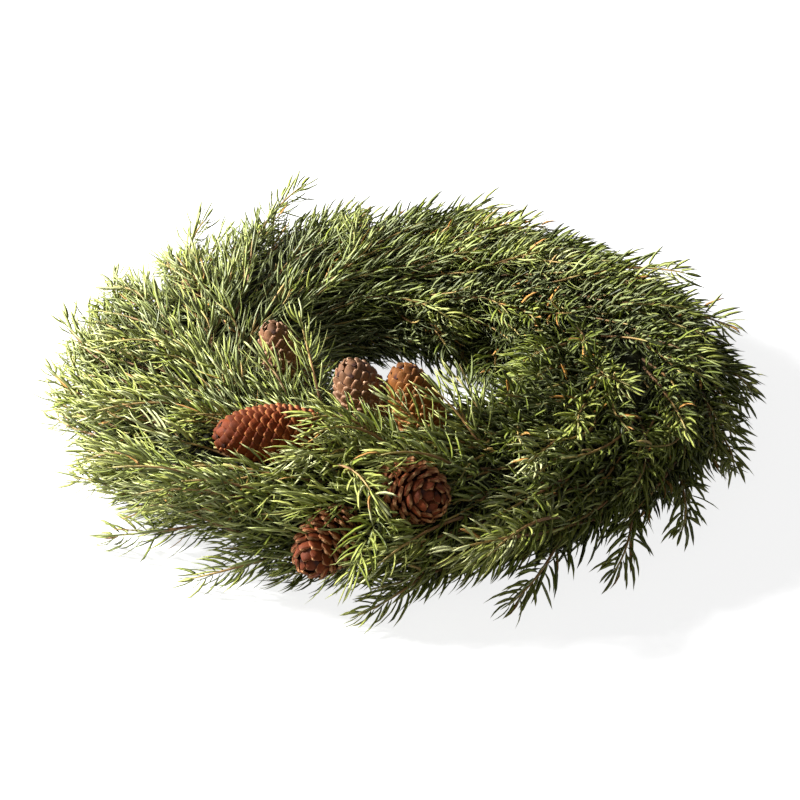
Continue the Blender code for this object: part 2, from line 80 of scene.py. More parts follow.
# Pine cones: the scales on a cone of the reference length and radius, and one scale's size.
CONE_SCALES = 178
CONE_LENGTH = 0.076
CONE_RADIUS = 0.0205
SCALE_WIDTH = 0.0112
SCALE_LENGTH = 0.0140
SCALE_THICKNESS = 0.0021

# The leaf atlas: each leaf takes one cell's colour, and its two sides take neighbouring columns.
ATLAS = 8
ROW_DRY = 7


# ---------------------------------------------------------------- node materials


class Nodes:
    """A short way to write a node tree."""

    def __init__(self, name):
        self.material = bpy.data.materials.new(name)
        self.material.use_nodes = True
        self.tree = self.material.node_tree
        self.shader = self.tree.nodes["Principled BSDF"]

    def add(self, kind, **settings):
        node = self.tree.nodes.new(kind)
        for key, value in settings.items():
            setattr(node, key, value)
        return node

    def feed(self, socket, value):
        if isinstance(value, bpy.types.NodeSocket):
            self.tree.links.new(value, socket)
        else:
            socket.default_value = value

    def math(self, operation, *values):
        node = self.add("ShaderNodeMath", operation=operation)
        for socket, value in zip(node.inputs, values):
            self.feed(socket, value)
        return node.outputs[0]

    def mix(self, blend, share, first, second):
        node = self.add("ShaderNodeMix", data_type="RGBA", blend_type=blend)
        self.feed(node.inputs[0], share)
        self.feed(node.inputs[6], first)
        self.feed(node.inputs[7], second)
        return node.outputs[2]

    def ramp(self, value, stops, interpolation="LINEAR"):
        node = self.add("ShaderNodeValToRGB")
        node.color_ramp.interpolation = interpolation
        points = node.color_ramp.elements
        while len(points) < len(stops):
            points.new(0.5)
        for point, (place, colour) in zip(points, stops):
            point.position = place
            point.color = (*colour, 1.0)
        self.feed(node.inputs[0], value)
        return node.outputs[0]

    def scale_range(self, value, low, high):
        node = self.add("ShaderNodeMapRange")
        self.feed(node.inputs[0], value)
        node.inputs[3].default_value = low
        node.inputs[4].default_value = high
        return node.outputs[0]

    def grey(self, value):
        node = self.add("ShaderNodeCombineColor")
        for socket in node.inputs[:3]:
            self.feed(socket, value)
        return node.outputs[0]

    def noise(self, vector, scale, detail=2.0):
        node = self.add("ShaderNodeTexNoise")
        self.feed(node.inputs["Vector"], vector)
        node.inputs["Scale"].default_value = scale
        node.inputs["Detail"].default_value = detail
        return node.outputs[0]

    def bump(self, height, strength, distance):
        node = self.add("ShaderNodeBump")
        node.inputs["Strength"].default_value = strength
        node.inputs["Distance"].default_value = distance
        self.feed(node.inputs["Height"], height)
        self.feed(self.shader.inputs["Normal"], node.outputs[0])


WHITE = (1.0, 1.0, 1.0)
BLACK = (0.0, 0.0, 0.0)


def linear(red, green, blue):
    """A colour written as it looks, from 0 to 255, as Blender's linear values."""
    shares = (red / 255, green / 255, blue / 255)
    return tuple(((v + 0.055) / 1.055) ** 2.4 if v > 0.04 else v / 12.92 for v in shares)


def atlas_cell(nodes):
    """The atlas cell's column and row, a random value of its own, and the place inside it."""
    uv = nodes.add("ShaderNodeUVMap", uv_map="OFBake").outputs[0]
    split = nodes.add("ShaderNodeSeparateXYZ")
    nodes.feed(split.inputs[0], uv)
    across = nodes.math("MULTIPLY", split.outputs[0], ATLAS)
    along = nodes.math("MULTIPLY", split.outputs[1], ATLAS)
    column = nodes.math("FLOOR", across)
    row = nodes.math("FLOOR", along)
    cell = nodes.add("ShaderNodeCombineXYZ")
    nodes.feed(cell.inputs[0], nodes.math("ADD", column, 0.5))
    nodes.feed(cell.inputs[1], nodes.math("ADD", row, 0.5))
    chance = nodes.add("ShaderNodeTexWhiteNoise", noise_dimensions="2D")
    nodes.feed(chance.inputs["Vector"], cell.outputs[0])
    inside_across = nodes.math("FRACT", across)
    inside_along = nodes.math("FRACT", along)
    return uv, column, row, chance.outputs["Value"], inside_across, inside_along


def leaf_material():
    """Waxy narrow leaves: deep to young green by row, paler beneath and along the midrib. The darkest rows
    are partly painted shade, and the palest green row is partly a painted highlight.
    """
    nodes = Nodes("greens_leaf")
    uv, column, row, chance, across, along = atlas_cell(nodes)
    # Rows 0 to 6 run from a near-black green that is partly painted shade to a pale green that is partly a
    # painted highlight; row 7 is dry leaf.
    tones = [
        linear(44, 50, 15),
        linear(66, 74, 22),
        linear(92, 102, 32),
        linear(120, 130, 46),
        linear(146, 152, 68),
        linear(172, 174, 90),
        linear(200, 202, 146),
        linear(184, 128, 64),
    ]
    stops = [(index / ATLAS, tone) for index, tone in enumerate(tones)]
    place = nodes.math("DIVIDE", nodes.math("ADD", row, 0.5), float(ATLAS))
    colour = nodes.ramp(place, stops, "CONSTANT")
    colour = nodes.mix("MULTIPLY", 1.0, colour, nodes.grey(nodes.scale_range(chance, 0.78, 1.18)))
    under = nodes.math("MODULO", column, 2.0)
    colour = nodes.mix("MIX", nodes.math("MULTIPLY", under, 0.35), colour, (*linear(176, 182, 132), 1.0))
    blush = nodes.ramp(
        along,
        [
            (0.0, (0.95, 0.80, 0.55)),
            (0.22, (0.92, 0.95, 0.90)),
            (0.80, (1.0, 1.0, 1.0)),
            (1.0, (1.12, 1.05, 0.95)),
        ],
    )
    colour = nodes.mix("MULTIPLY", 1.0, colour, blush)
    rib = nodes.math("ABSOLUTE", nodes.math("SUBTRACT", across, 0.5))
    rib_line = nodes.ramp(rib, [(0.0, WHITE), (0.09, WHITE), (0.14, BLACK)])
    colour = nodes.mix("MIX", nodes.math("MULTIPLY", rib_line, 0.22), colour, (*linear(196, 204, 150), 1.0))
    nodes.feed(nodes.shader.inputs["Base Color"], colour)
    stretched = nodes.add("ShaderNodeVectorMath", operation="MULTIPLY")
    nodes.feed(stretched.inputs[0], uv)
    stretched.inputs[1].default_value = (420.0, 60.0, 1.0)
    grain = nodes.noise(stretched.outputs[0], 1.0)
    nodes.feed(nodes.shader.inputs["Roughness"], nodes.scale_range(grain, 0.34, 0.50))
    nodes.shader.inputs["Specular IOR Level"].default_value = 0.18
    nodes.bump(nodes.math("ADD", grain, rib_line), 0.25, 0.0002)
    return nodes.material


def stem_material():
    """Thin tan to orange-brown bark, greener towards the tip."""
    nodes = Nodes("greens_stem")
    uv, _, _, chance, _, along = atlas_cell(nodes)
    colour = nodes.ramp(
        along,
        [
            (0.0, linear(92, 66, 40)),
            (0.45, linear(148, 108, 62)),
            (0.8, linear(170, 142, 78)),
            (1.0, linear(168, 162, 92)),
        ],
    )
    colour = nodes.mix("MULTIPLY", 1.0, colour, nodes.grey(nodes.scale_range(chance, 0.75, 1.15)))
    grain = nodes.noise(uv, 340.0)
    colour = nodes.mix("MULTIPLY", 0.6, colour, nodes.grey(nodes.scale_range(grain, 0.6, 1.25)))
    nodes.feed(nodes.shader.inputs["Base Color"], colour)
    nodes.shader.inputs["Roughness"].default_value = 0.62
    nodes.bump(grain, 0.4, 0.0003)
    return nodes.material


def cone_material(name, face, deep, rim, bright):
    """Woody scales: dark in their depths, which is painted shade, red-brown over the face, and pale at the
    dry rim, which is partly painted light on its edge, with a painted highlight at the very tip.
    """
    nodes = Nodes(name)
    uv, _, _, chance, across, along = atlas_cell(nodes)
    # The deep stops at the scale's root are painted shade under the scale above, and the bright stop at the
    # very tip is a painted highlight.
    stops = [(0.0, deep), (0.22, deep), (0.50, face), (0.90, face), (0.96, rim), (1.0, bright)]
    colour = nodes.ramp(along, stops)
    # The edges of the scale's outer half take the rim colour: pale dry wood, partly painted light on the lit
    # edge.
    edge = nodes.math("MULTIPLY", nodes.math("ABSOLUTE", nodes.math("SUBTRACT", across, 0.5)), 2.0)
    edge_line = nodes.ramp(edge, [(0.0, BLACK), (0.86, BLACK), (1.0, WHITE)])
    inner = nodes.math("GREATER_THAN", along, 0.5)
    edge_share = nodes.math("MULTIPLY", nodes.math("MULTIPLY", edge_line, 0.7), inner)
    colour = nodes.mix("MIX", edge_share, colour, (*rim, 1.0))
    colour = nodes.mix("MULTIPLY", 1.0, colour, nodes.grey(nodes.scale_range(chance, 0.72, 1.25)))
    stretched = nodes.add("ShaderNodeVectorMath", operation="MULTIPLY")
    nodes.feed(stretched.inputs[0], uv)
    stretched.inputs[1].default_value = (260.0, 70.0, 1.0)
    grain = nodes.noise(stretched.outputs[0], 1.0, 4.0)
    colour = nodes.mix("MULTIPLY", 0.7, colour, nodes.grey(nodes.scale_range(grain, 0.55, 1.35)))
    nodes.feed(nodes.shader.inputs["Base Color"], colour)
    nodes.feed(nodes.shader.inputs["Roughness"], nodes.scale_range(grain, 0.50, 0.74))
    nodes.shader.inputs["Specular IOR Level"].default_value = 0.12
    nodes.bump(grain, 0.5, 0.0006)
    return nodes.material


def wire_material(name, tone, roughness, metallic):
    """Drawn wire with a slightly worn enamel or a bare finish."""
    nodes = Nodes(name)
    place = nodes.add("ShaderNodeTexCoord").outputs["Object"]
    grain = nodes.noise(place, 900.0)
    colour = nodes.mix("MULTIPLY", 0.6, (*tone, 1.0), nodes.grey(nodes.scale_range(grain, 0.6, 1.3)))
    nodes.feed(nodes.shader.inputs["Base Color"], colour)
    nodes.feed(nodes.shader.inputs["Roughness"], nodes.scale_range(grain, roughness - 0.08, roughness + 0.12))
    nodes.shader.inputs["Metallic"].default_value = metallic
    nodes.bump(grain, 0.2, 0.0002)
    return nodes.material


# ---------------------------------------------------------------- meshes from arrays


def mesh_piece(name, points, triangles, uvs, material, slot, nodes, smooth):
    """One piece from arrays of points, triangles and their corners' places on the atlas."""
    mesh = bpy.data.meshes.new(name)
    mesh.vertices.add(len(points))
    mesh.vertices.foreach_set("co", np.asarray(points, np.float32).ravel())
    mesh.loops.add(3 * len(triangles))
    mesh.loops.foreach_set("vertex_index", np.asarray(triangles, np.int32).ravel())
    mesh.polygons.add(len(triangles))
    mesh.polygons.foreach_set("loop_start", np.arange(0, 3 * len(triangles), 3, dtype=np.int32))
    mesh.uv_layers.new(name="OFBake").data.foreach_set("uv", np.asarray(uvs, np.float32).ravel())
    mesh.update(calc_edges=True)
    if smooth:
        mesh.shade_smooth()
    mesh.materials.append(material)
    piece = bpy.data.objects.new(name, mesh)
    bpy.context.scene.collection.objects.link(piece)
    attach(piece, "root")
    if nodes:
        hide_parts(*nodes)
    return piece


def unit(vectors):
    return vectors / np.maximum(np.linalg.norm(vectors, axis=-1, keepdims=True), 1e-9)


def press_to_floor(points):
    """Ease what would pass through the floor up onto it, and what stands too high back down."""
    heights = points[..., 2]
    low = heights < PRESS_HEIGHT
    eased = PRESS_HEIGHT * np.exp(np.minimum(heights - PRESS_HEIGHT, 0.0) / PRESS_HEIGHT)
    heights = np.where(low, eased, heights)
    over = np.maximum(heights - CROWN_HEIGHT, 0.0)
    points[..., 2] = heights - over + CROWN_SLACK * (1 - np.exp(-over / CROWN_SLACK))
    return points


# A blade has a base point, three cross-sections of a left edge, a right edge and a keel, and a tip.
BLADE_SHARES = (0.22, 0.50, 0.78)
BLADE_WIDTHS = (0.78, 1.00, 0.80)
BLADE_TIP = 1 + 3 * len(BLADE_SHARES)


def blade_pattern():
    """Triangles of one blade, their places on its atlas cell, and which of them face down."""
    places = [(0.5, 0.02)]
    for share, width in zip(BLADE_SHARES, BLADE_WIDTHS):
        places += [(0.5 - 0.44 * width, share), (0.5 + 0.44 * width, share), (0.5, share)]
    places.append((0.5, 0.98))
    left, right, keel = 1, 2, 3
    top = [(0, right, left)]
    under = [(0, left, keel), (0, keel, right)]
    for step in range(0, 3 * (len(BLADE_SHARES) - 1), 3):
        a, b, c = left + step, right + step, keel + step
        top += [(a, b, b + 3), (a, b + 3, a + 3)]
        under += [(a, a + 3, c + 3), (a, c + 3, c), (c, c + 3, b + 3), (c, b + 3, b)]
    a, b, c = BLADE_TIP - 3, BLADE_TIP - 2, BLADE_TIP - 1
    top.append((a, b, BLADE_TIP))
    under += [(a, BLADE_TIP, c), (c, BLADE_TIP, b)]
    side = np.array([0] * len(top) + [1] * len(under))
    return np.array(top + under), np.array(places), side


BLADE_TRIANGLES, BLADE_PLACES, BLADE_UNDER = blade_pattern()


class Foliage:
    """Leaves and stems gathered for one piece of greens."""

    def __init__(self):
        self.leaves = []
        self.stems = []

    def leaf_arrays(self):
        base, direction, bend, normal, length, width, curl, row, column = (
            np.concatenate(parts) for parts in zip(*self.leaves)
        )
        side = unit(np.cross(direction, normal))
        length = length[:, None]
        half = width[:, None] / 2

        def section(share):
            return base + direction * length * share + bend * curl[:, None] * share * share

        corners = [base]
        for share, wide in zip(BLADE_SHARES, BLADE_WIDTHS):
            middle = section(share)
            corners += [middle - side * half * wide, middle + side * half * wide]
            corners.append(middle - normal * half * 0.55 * wide)
        corners.append(section(1.0))
        points = np.stack(corners, axis=1)
        count = len(base)
        triangles = (np.arange(count) * (BLADE_TIP + 1))[:, None, None] + BLADE_TRIANGLES[None]
        places = BLADE_PLACES[BLADE_TRIANGLES]
        cell_x = (column * 2)[:, None] + BLADE_UNDER[None]
        u = (cell_x[:, :, None] + places[None, :, :, 0]) / ATLAS
        v = (row[:, None, None] + places[None, :, :, 1]) / ATLAS
        uvs = np.stack([u, v], axis=-1)
        return press_to_floor(points.reshape(-1, 3)), triangles.reshape(-1, 3), uvs.reshape(-1, 2)

    def stem_arrays(self):
        points = []
        triangles = []
        uvs = []
        offset = 0
        for number, (path, root_radius, tip_radius) in enumerate(self.stems):
            corners, faces, places = stem_tube(path, root_radius, tip_radius, number)
            points.append(corners)
            triangles.append(faces + offset)
            uvs.append(places)
            offset += len(corners)
        return press_to_floor(np.concatenate(points)), np.concatenate(triangles), np.concatenate(uvs)


def path_frames(path):
    """The tangents of a path, with a level side and a rise square to each."""
    tangents = unit(np.gradient(path, axis=0))
    reference = np.array([0.0, 0.0, 1.0])
    if abs(tangents[0] @ reference) > 0.9:
        reference = np.array([1.0, 0.0, 0.0])
    side = unit(np.cross(tangents, reference))
    rise = np.cross(side, tangents)
    return tangents, side, rise


def stem_tube(path, root_radius, tip_radius, number):
    """A thin tapering stem, closed at both ends."""
    count = len(path)
    _, side, rise = path_frames(path)
    turns = np.arange(STEM_SIDES) * 2 * math.pi / STEM_SIDES
    radii = np.linspace(root_radius, tip_radius, count)[:, None, None]
    ring = side[:, None] * np.cos(turns)[None, :, None] + rise[:, None] * np.sin(turns)[None, :, None]
    corners = (path[:, None] + ring * radii).reshape(-1, 3)
    corners = np.concatenate([corners, path[:1], path[-1:]])
    first = count * STEM_SIDES
    cell_x = number % ATLAS
    cell_y = number // ATLAS % ATLAS
    faces = []
    places = []

    def place(i, k):
        across = cell_x + (k + 0.2) / (STEM_SIDES + 0.4)
        along = cell_y + 0.02 + 0.96 * i / (count - 1)
        return (across / ATLAS, along / ATLAS)

    for i in range(count - 1):
        for k in range(STEM_SIDES):
            turn = (k + 1) % STEM_SIDES
            a, b = i * STEM_SIDES + k, i * STEM_SIDES + turn
            c, d = a + STEM_SIDES, b + STEM_SIDES
            faces += [(a, b, d), (a, d, c)]
            places += [place(i, k), place(i, k + 1), place(i + 1, k + 1)]
            places += [place(i, k), place(i + 1, k + 1), place(i + 1, k)]
    last = (count - 1) * STEM_SIDES
    for k in range(STEM_SIDES):
        turn = (k + 1) % STEM_SIDES
        faces += [(first, turn, k), (first + 1, last + k, last + turn)]
        places += [place(0, k), place(0, k + 1), place(0, k)]
        places += [place(count - 1, k), place(count - 1, k + 1), place(count - 1, k)]
    return corners, np.array(faces), np.array(places)


# ---------------------------------------------------------------- keeping clear of the cones

CONE_FORMS = {
    "small_inner": ((-0.36, 0.20, 0.91), 0.060, 0.0160, 0.0),
    "inner_left": ((-0.36, 0.20, 0.91), 0.068, 0.0200, 0.0),
    "inner_right": ((-0.38, 0.50, 0.78), 0.068, 0.0195, 0.1),
    "top_left": ((-0.99, 0.03, -0.08), 0.076, 0.0205, 0.05),
    "front": ((0.54, -0.80, 0.25), 0.062, 0.0200, 0.75),
    "low_front": ((-0.50, -0.84, -0.20), 0.056, 0.0190, 0.55),
}


class ConePlace:
    """Where a cone stands: its base, axis, length and greatest radius."""

    def __init__(self, name):
        low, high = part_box("pine_cone_" + name)
        axis, self.length, self.radius, self.openness = CONE_FORMS[name]
        self.name = name
        self.axis = unit(np.array(axis))
        self.middle = (np.array(low) + np.array(high)) / 2
        self.base = self.middle - self.axis * self.length / 2

    def nearness(self, points):
        """Distance of points from the cone's axis line, and how far along it they lie."""
        along = (points - self.base) @ self.axis
        held = np.clip(along, 0.12 * self.length, self.length)
        foot = self.base + held[..., None] * self.axis
        return np.linalg.norm(points - foot, axis=-1), along


CONES = [ConePlace(name) for name in CONE_FORMS]


def clear_of_cones(points, margin):
    """Which points lie further than a margin outside every cone."""
    free = np.ones(points.shape[:-1], bool)
    for cone in CONES:
        distance, _ = cone.nearness(points)
        free &= distance > cone.radius * 0.96 + margin
    return free


# ---------------------------------------------------------------- sprigs


def grow_sprig(foliage, path, chance, tone=0.5, spacing=LEAF_SPACING, bare=0.10, size=1.0, margin=0.003):
    """Set leaves in a spiral along a path and add its stem. Tone runs from 0, deep, to 1, young; as the
    callers set it, it also holds painted shade where the greens lie in shade and painted light where they are
    lit.
    """
    steps = np.linalg.norm(np.diff(path, axis=0), axis=1)
    reach = np.concatenate([[0.0], np.cumsum(steps)])
    total = reach[-1]
    count = max(int(total * (1 - bare) / spacing), 6)
    shares = bare + (1 - bare) * (np.arange(count) + chance.random(count) * 0.6) / count
    shares = np.minimum(shares, 0.995)
    tangents, side, rise = path_frames(path)

    def along(values):
        return np.stack([np.interp(shares * total, reach, values[:, a]) for a in range(3)], axis=1)

    centre = along(path)
    tangent = unit(along(tangents))
    across = unit(along(side))
    up = unit(np.cross(across, tangent))
    turn = np.arange(count) * GOLDEN_ANGLE + chance.random() * 6.28 + chance.normal(0, 0.25, count)
    outward = across * np.cos(turn)[:, None] + up * np.sin(turn)[:, None]
    lean = np.radians(LEAF_LEAN - 12 * shares - 28 * np.clip((shares - 0.90) / 0.10, 0, 1))
    lean = lean + np.radians(chance.normal(0, LEAF_LEAN_SPREAD, count))
    direction = tangent * np.cos(lean)[:, None] + outward * np.sin(lean)[:, None]
    inner = unit(tangent - direction * np.sum(tangent * direction, axis=1, keepdims=True))
    skyward = np.array([0.0, 0.0, 1.0]) - direction * direction[:, 2:]
    facing = unit(inner * 0.5 + skyward * 0.9)
    roll = np.radians(chance.normal(0, LEAF_ROLL_SPREAD, count))[:, None]
    normal = facing * np.cos(roll) + np.cross(direction, facing) * np.sin(roll)
    swell = 0.80 + 0.30 * np.sin(math.pi * shares**0.75) - 0.16 * np.clip((shares - 0.9) / 0.1, 0, 1)
    length = LEAF_LENGTH * size * swell * chance.uniform(0.72, 1.18, count)
    width = LEAF_WIDTH * (0.6 + 0.4 * size) * chance.uniform(0.82, 1.18, count)
    curl = length * chance.normal(LEAF_CURL, LEAF_CURL_SPREAD, count)
    base = centre + outward * STEM_TIP_RADIUS
    row = np.clip(np.round(tone * 5.0 + shares * 2.2 - 0.9 + chance.normal(0, 0.8, count)), 0, 6).astype(int)
    dry = chance.random(count) < DRY_SHARE + 0.10 * (chance.random() < DRY_SPRIG_SHARE)
    row[dry] = ROW_DRY
    column = chance.integers(0, ATLAS // 2, count)
    middle = base + direction * (length * 0.6)[:, None]
    tip = base + direction * length[:, None]
    keep = clear_of_cones(middle, margin) & clear_of_cones(tip, margin)
    foliage.leaves.append(
        [part[keep] for part in (base, direction, inner, normal, length, width, curl, row, column)]
    )
    free = clear_of_cones(path, 0.0)
    end = len(path) if free.all() else max(int(np.argmin(free)), 2)
    foliage.stems.append((path[:end], STEM_ROOT_RADIUS * (0.7 + 0.3 * size), STEM_TIP_RADIUS))


def ring_point(angle, turn, depth):
    """A point of the ring: angle round the wreath, turn round the section, depth out from its middle."""
    radius = RING_RADIUS + depth * RING_HALF_WIDTH * math.cos(turn)
    height = RING_MIDDLE + depth * RING_HALF_HEIGHT * math.sin(turn)
    return np.array([radius * math.cos(angle), radius * math.sin(angle), height])


def bunch_sprig_path(angle, turn, length, root_depth, tip_depth, fan, chance):
    """A stem that runs clockwise with its bunch, rises to the surface and leans outwards."""
    path = []
    inner_share = max(-math.cos(turn), 0.0)
    drift = -0.42 * math.sin(turn) * fan - 0.40 * inner_share
    drift += chance.normal(0, 0.26)
    bend = chance.normal(0, 0.45)
    outer_share = max(math.cos(turn), 0.0)
    tip_depth *= 1 + (reach_at(angle) - 1) * (0.35 + 0.65 * outer_share)
    for step in range(SPRIG_POINTS):
        share = step / (SPRIG_POINTS - 1)
        depth = root_depth + (tip_depth - root_depth) * share**1.15
        here_turn = turn + (drift * share + bend * share * (share - 1)) * length / 0.09
        radius = RING_RADIUS + depth * RING_HALF_WIDTH * math.cos(here_turn)
        flow = length * (0.94 - 0.42 * (fan - 1.0)) * share / max(radius, 0.07)
        path.append(ring_point(angle - flow, here_turn, depth))
    return np.array(path)


def fan_at(angle):
    """How much more outwards the sprigs lean there: most on the left of the wreath."""
    return 1.0 + 0.75 * max(-math.cos(angle - math.radians(8)), 0.0) ** 1.5


def reach_at(angle):
    """How far out the greens come there: less at the front corners and along the back."""
    right_front = math.exp(-((math.remainder(angle + math.radians(38), 2 * math.pi) / 0.55) ** 2))
    back = math.exp(-((math.remainder(angle - math.radians(62), 2 * math.pi) / 0.80) ** 2))
    front_left = math.exp(-((math.remainder(angle + math.radians(118), 2 * math.pi) / 0.38) ** 2))
    return 1.0 - 0.30 * right_front - 0.16 * back - 0.20 * front_left


# The tone rises from the deepest layer to the outermost: painted shade inside the greens.
LAYERS = (
    # sprigs, shortest, longest, root depth, least and most tip depth, tone, spacing
    (300, 0.060, 0.085, 0.35, 0.60, 0.80, -0.22, 0.0025),
    (350, 0.070, 0.110, 0.50, 0.84, 1.00, 0.38, 0.0018),
    (130, 0.070, 0.105, 0.62, 0.98, 1.12, 0.66, 0.0017),
)


# Sprigs that lie round and across the cones: the cone, then root, bend and tip as offsets in
# millimetres from the middle of its box, and tone.
ACCENTS = (
    ("inner_right", (27, -47, -27), (9, -35, 5), (-21, -31, 28), 0.85),
    ("inner_right", (49, -35, -19), (35, -21, 5), (11, -7, 21), 0.70),
    ("inner_right", (59, -15, -33), (51, 7, -7), (29, 27, 11), 0.60),
    ("small_inner", (34, -64, -20), (24, -34, 14), (14, -6, 38), 0.60),
    ("small_inner", (10, -86, -6), (7, -66, 18), (-16, -38, 22), 0.70),
    ("top_left", (92, 4, -20), (60, -8, 30), (28, -18, 22), 0.62),
    ("top_left", (92, -18, -24), (54, -36, 28), (12, -38, -2), 0.80),
    ("top_left", (100, -12, -18), (66, -22, 34), (34, -28, 16), 0.60),
    ("top_left", (66, 14, -6), (50, 6, 16), (30, 2, 16), 0.50),
    ("top_left", (-10, -30, -34), (-60, -34, 0), (-108, -26, -12), 0.55),
    ("top_left", (10, -44, -40), (-40, -52, -2), (-92, -50, -20), 0.50),
    ("top_left", (20, -40, -36), (-26, -46, -2), (-66, -44, -14), 0.45),
    ("front", (-66, 30, -4), (-42, -4, 38), (-24, -44, 18), 0.72),
    ("front", (42, 22, -4), (12, 8, 36), (-24, -8, 34), 0.62),
    ("front", (90, -11, -27), (62, -48, -5), (26, -58, -9), 0.90),
    ("front", (102, -6, -17), (77, -36, 3), (50, -54, -17), 0.80),
    ("low_front", (43, 21, 18), (33, -26, 34), (17, -42, -2), 0.66),
)

# Sprigs of the inner wall that reach into the opening, by stretches of the ring. The back stretch has the
# lowest tone: painted shade on the inner back wall.
FRINGES = (
    # first and last angle in degrees, sprigs, turn round the section, tip depth, tone
    (28, 172, 60, 3.58, 1.20, -0.10),
    (160, 222, 22, 3.22, 1.38, 0.16),
    (-75, -2, 15, 2.60, 1.06, 0.42),
)


def fringe_path(angle, turn, tip_depth, chance):
    """A short sprig that leaves the inner wall, leans with its bunch and reaches into the opening."""
    flow = chance.uniform(0.22, 0.55)
    turn += chance.normal(0, 0.20)
    tip_depth *= chance.uniform(0.86, 1.03)
    root = ring_point(angle + flow, turn, 0.55)
    bend = ring_point(angle + 0.4 * flow, turn, 0.65 + 0.35 * tip_depth)
    return curved_path(root, bend, ring_point(angle, turn + chance.normal(0, 0.15), tip_depth))


def curved_path(root, bend, tip, points=SPRIG_POINTS):
    """A smooth stem from root to tip, drawn towards a bend."""
    shares = np.linspace(0, 1, points)[:, None]
    return root * (1 - shares) ** 2 + bend * 2 * shares * (1 - shares) + tip * shares**2


def bunch_at(bunches, angle):
    """The bunch whose stretch of the ring holds an angle. They follow each other clockwise."""
    return bunches[int(-angle / (2 * math.pi) * BUNCHES) % BUNCHES]


def grow_bunches(leaf, stem):
    """All the sprigs of the ring, sorted into a piece of leaves and a piece of stems for each bunch."""
    chance = np.random.default_rng(5)
    bunches = [Foliage() for _ in range(BUNCHES)]
    for count, shortest, longest, root_depth, least, most, tone, spacing in LAYERS:
        for number in range(count):
            angle = -2 * math.pi * (number + chance.random()) / count
            turn = math.radians(-62) + (number * 0.618034 % 1.0) * math.radians(304)
            length = chance.uniform(shortest, longest)
            path = bunch_sprig_path(
                angle, turn, length, root_depth, chance.uniform(least, most), fan_at(angle), chance
            )
            bunch = bunch_at(bunches, angle)
            # Painted shade and light: sprigs on the inner side of the ring are painted darker, and the greens
            # are painted paler towards the front left and darker towards the back right, the way the lamp
            # from the left lights them.
            shade = tone + chance.normal(0, 0.20) - 0.25 * max(-math.cos(turn), 0.0)
            shade -= 0.13 * math.cos(angle - math.radians(40))
            grow_sprig(bunch, path, chance, shade, spacing)
    for first, last, count, turn, tip_depth, tone in FRINGES:
        for number in range(count):
            angle = math.radians(first + (last - first) * (number + chance.random()) / count)
            shade = tone + chance.normal(0, 0.12)
            grow_sprig(bunch_at(bunches, angle), fringe_path(angle, turn, tip_depth, chance), chance, shade)
    middles = {cone.name: cone.middle for cone in CONES}
    for name, root, bend, tip, tone in ACCENTS:
        root, bend, tip = (middles[name] + np.array(offset) / 1000 for offset in (root, bend, tip))
        bunch = bunch_at(bunches, math.atan2(root[1], root[0]))
        grow_sprig(bunch, curved_path(root, bend, tip), chance, tone, margin=0.001)
    for number, bunch in enumerate(bunches):
        label = f"{number + 1:02d}"
        node = "greens_bunch_" + label
        mesh_piece("leaves_bunch_" + label, *bunch.leaf_arrays(), leaf, "greens", [node], False)
        mesh_piece("stems_bunch_" + label, *bunch.stem_arrays(), stem, "greens", [node], True)


def spray_path_from_box(node):
    """A spray's stem, through the middle of the box of its solid, the way the greens run."""
    low, high = (np.array(corner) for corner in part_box(node))
    middle = (low + high) / 2
    outward = unit(middle * np.array([1.0, 1.0, 0.0]))
    flow = np.array([outward[1], -outward[0], 0.0])
    climb = (middle[2] - 0.045) * 0.35
    root = middle - outward * 0.046 - flow * 0.056 + np.array([0.0, 0.0, 0.006 - climb])
    tip = middle + outward * 0.012 + flow * 0.016 + np.array([0.0, 0.0, climb * 0.8])
    bend = middle + outward * 0.006 - flow * 0.012 + np.array([0.0, 0.0, 0.004])
    return curved_path(root, bend, tip, SPRIG_POINTS + 2)


def grow_sprays(leaf, stem):
    """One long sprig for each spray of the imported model."""
    chance = np.random.default_rng(11)
    names = sorted(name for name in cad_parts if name.startswith("spray_"))
    for name in names:
        foliage = Foliage()
        grow_sprig(foliage, spray_path_from_box(name), chance, 0.62, LEAF_SPACING, 0.08)
        mesh_piece("leaves_" + name, *foliage.leaf_arrays(), leaf, "sprays", [name], False)
        mesh_piece("stem_" + name, *foliage.stem_arrays(), stem, "sprays", [name], True)


# ---------------------------------------------------------------- stem bundle inside the ring


def build_stem_bundle(material):
    """The woody butts of the bunches, laid side by side round the frame."""
    around = 288
    stems = 64
    corners = []
    for i in range(around):
        angle = -2 * math.pi * i / around
        for k in range(stems):
            turn = 2 * math.pi * k / stems
            ridge = 0.0022 * math.cos(stems / 4 * turn + 9 * angle)
            ridge += 0.0015 * math.sin(5 * turn - 16 * angle)
            radius = RING_RADIUS + (0.044 + ridge) * math.cos(turn)
            height = 0.043 + (0.031 + ridge) * math.sin(turn)
            corners.append((radius * math.cos(angle), radius * math.sin(angle), height))
    faces = []
    places = []
    for i in range(around):
        for k in range(stems):
            a = i * stems + k
            b = i * stems + (k + 1) % stems
            c = (i + 1) % around * stems + k
            d = (i + 1) % around * stems + (k + 1) % stems
            faces += [(a, b, d), (a, d, c)]
            left, right = i / around, (i + 1) / around
            bottom, top = k / stems, (k + 1) / stems
            places += [(left, bottom), (left, top), (right, top)]
            places += [(left, bottom), (right, top), (right, bottom)]
    mesh_piece("stem_bundle", corners, faces, places, material, "greens", [], True)


